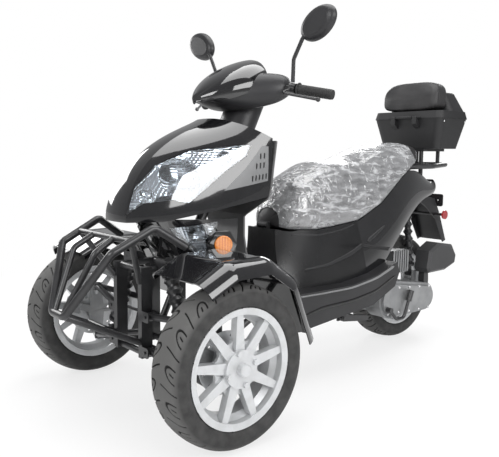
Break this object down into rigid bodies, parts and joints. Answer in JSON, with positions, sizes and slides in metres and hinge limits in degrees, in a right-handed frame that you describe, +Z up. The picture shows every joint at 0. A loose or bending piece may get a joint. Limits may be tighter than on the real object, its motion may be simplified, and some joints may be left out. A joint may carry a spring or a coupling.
{
  "type": "motor trike scooter",
  "caption": "Motor trike scooter with twin steered front wheels, a single rear wheel, a long two-level saddle and a rear trunk with a backrest pad.",
  "frame": {"origin": "centre of the footprint on the ground", "axes": "+X to the rider's left, +Y to the rear, +Z up; the front faces -Y"},
  "size_m": [1.032, 2.01, 1.3446],
  "materials": {
    "wheel_paint": "satin",
    "tyre_rubber": "matte",
    "cast_aluminium": "satin",
    "black_steel": "satin",
    "soft_rubber": "matte",
    "satin_plastic": "satin",
    "gloss_plastic": "gloss",
    "silver_plastic": "satin",
    "clear_lens": "gloss",
    "amber_lens": "gloss",
    "red_lens": "gloss",
    "chrome": "gloss",
    "seat_foam": "matte"
  },
  "bodies": {
    "chassis": {"upper_arms": "black_steel", "lower_arms": "black_steel", "front_shocks": "black_steel", "frame": "black_steel", "front_shield": "gloss_plastic", "vent_panels": "silver_plastic", "lower_fairing": "gloss_plastic", "lamp_lenses": "clear_lens", "amber_reflectors": "amber_lens", "headlight_bowls": "chrome", "leg_shield": "satin_plastic", "front_fenders": "gloss_plastic", "front_guard": "black_steel", "footboard": "satin_plastic", "seat_base": "satin_plastic", "rear_panels": "gloss_plastic", "trunk_box": "satin_plastic", "grab_rail": "black_steel", "tail_lamp": "red_lens", "rear_mudguard": "satin_plastic", "red_reflectors": "red_lens", "engine": "cast_aluminium", "belt_case": "cast_aluminium", "kick_starter": "black_steel", "air_filter_box": "silver_plastic", "exhaust": "black_steel", "rear_shock": "black_steel"},
    "steering": {"handlebar": "black_steel", "grips": "soft_rubber", "mirrors": "satin_plastic", "cowl": "satin_plastic", "visor": "gloss_plastic"},
    "left_tie_rod": {"tie_rod_left": "black_steel"},
    "right_tie_rod": {"tie_rod_right": "black_steel"},
    "left_knuckle": {"knuckle_left": "cast_aluminium"},
    "right_knuckle": {"knuckle_right": "cast_aluminium"},
    "left_front_wheel": {"front_rim_left": "wheel_paint", "front_tyre_left": "tyre_rubber"},
    "right_front_wheel": {"front_rim_right": "wheel_paint", "front_tyre_right": "tyre_rubber"},
    "rear_wheel": {"rear_rim": "wheel_paint", "rear_tyre": "tyre_rubber"},
    "seat": {"seat": "seat_foam", "seat_hinge": "black_steel"},
    "trunk_lid": {"trunk_lid": "satin_plastic", "backrest_pad": "seat_foam"},
    "centre_stand": {"centre_stand": "black_steel"}
  },
  "joints": [
    {"name": "steering", "type": "hinge", "parent": "chassis", "child": "steering", "pos_m": [0, -0.265, 1], "axis": [0, 0.4384, 0.8988], "range_deg": [-35, 35]},
    {"name": "left_tie_rod_turn", "type": "hinge", "parent": "steering", "child": "left_tie_rod", "pos_m": [0, -0.5328, 0.2455], "axis": [0, 0.4384, 0.8988], "range_deg": [-35, 35]},
    {"name": "right_tie_rod_turn", "type": "hinge", "parent": "steering", "child": "right_tie_rod", "pos_m": [0, -0.5328, 0.2455], "axis": [0, 0.4384, 0.8988], "range_deg": [-35, 35]},
    {"name": "left_kingpin", "type": "hinge", "parent": "chassis", "child": "left_knuckle", "pos_m": [0.378, -0.665, 0.243], "axis": [0, 0, 1], "range_deg": [-28, 28]},
    {"name": "right_kingpin", "type": "hinge", "parent": "chassis", "child": "right_knuckle", "pos_m": [-0.378, -0.665, 0.243], "axis": [0, 0, 1], "range_deg": [-28, 28]},
    {"name": "left_front_spin", "type": "hinge", "parent": "left_knuckle", "child": "left_front_wheel", "pos_m": [0.44, -0.665, 0.243], "axis": [1, 0, 0], "continuous": true},
    {"name": "right_front_spin", "type": "hinge", "parent": "right_knuckle", "child": "right_front_wheel", "pos_m": [-0.44, -0.665, 0.243], "axis": [1, 0, 0], "continuous": true},
    {"name": "rear_spin", "type": "hinge", "parent": "chassis", "child": "rear_wheel", "pos_m": [0, 0.665, 0.243], "axis": [1, 0, 0], "continuous": true},
    {"name": "seat_hinge", "type": "hinge", "parent": "chassis", "child": "seat", "pos_m": [0, -0.149, 0.584], "axis": [1, 0, 0], "range_deg": [0, 50]},
    {"name": "trunk_lid_hinge", "type": "hinge", "parent": "chassis", "child": "trunk_lid", "pos_m": [0, 0.728, 1.031], "axis": [1, 0, 0], "range_deg": [0, 70]},
    {"name": "stand_pivot", "type": "hinge", "parent": "chassis", "child": "centre_stand", "pos_m": [0, 0.213, 0.172], "axis": [1, 0, 0], "range_deg": [-78, 0]}
  ],
  "couplings": [
    {"joint": "left_kingpin", "follows": "steering", "ratio": 0.8},
    {"joint": "right_kingpin", "follows": "steering", "ratio": 0.8},
    {"joint": "left_tie_rod_turn", "follows": "steering", "ratio": -1},
    {"joint": "right_tie_rod_turn", "follows": "steering", "ratio": -1}
  ]
}
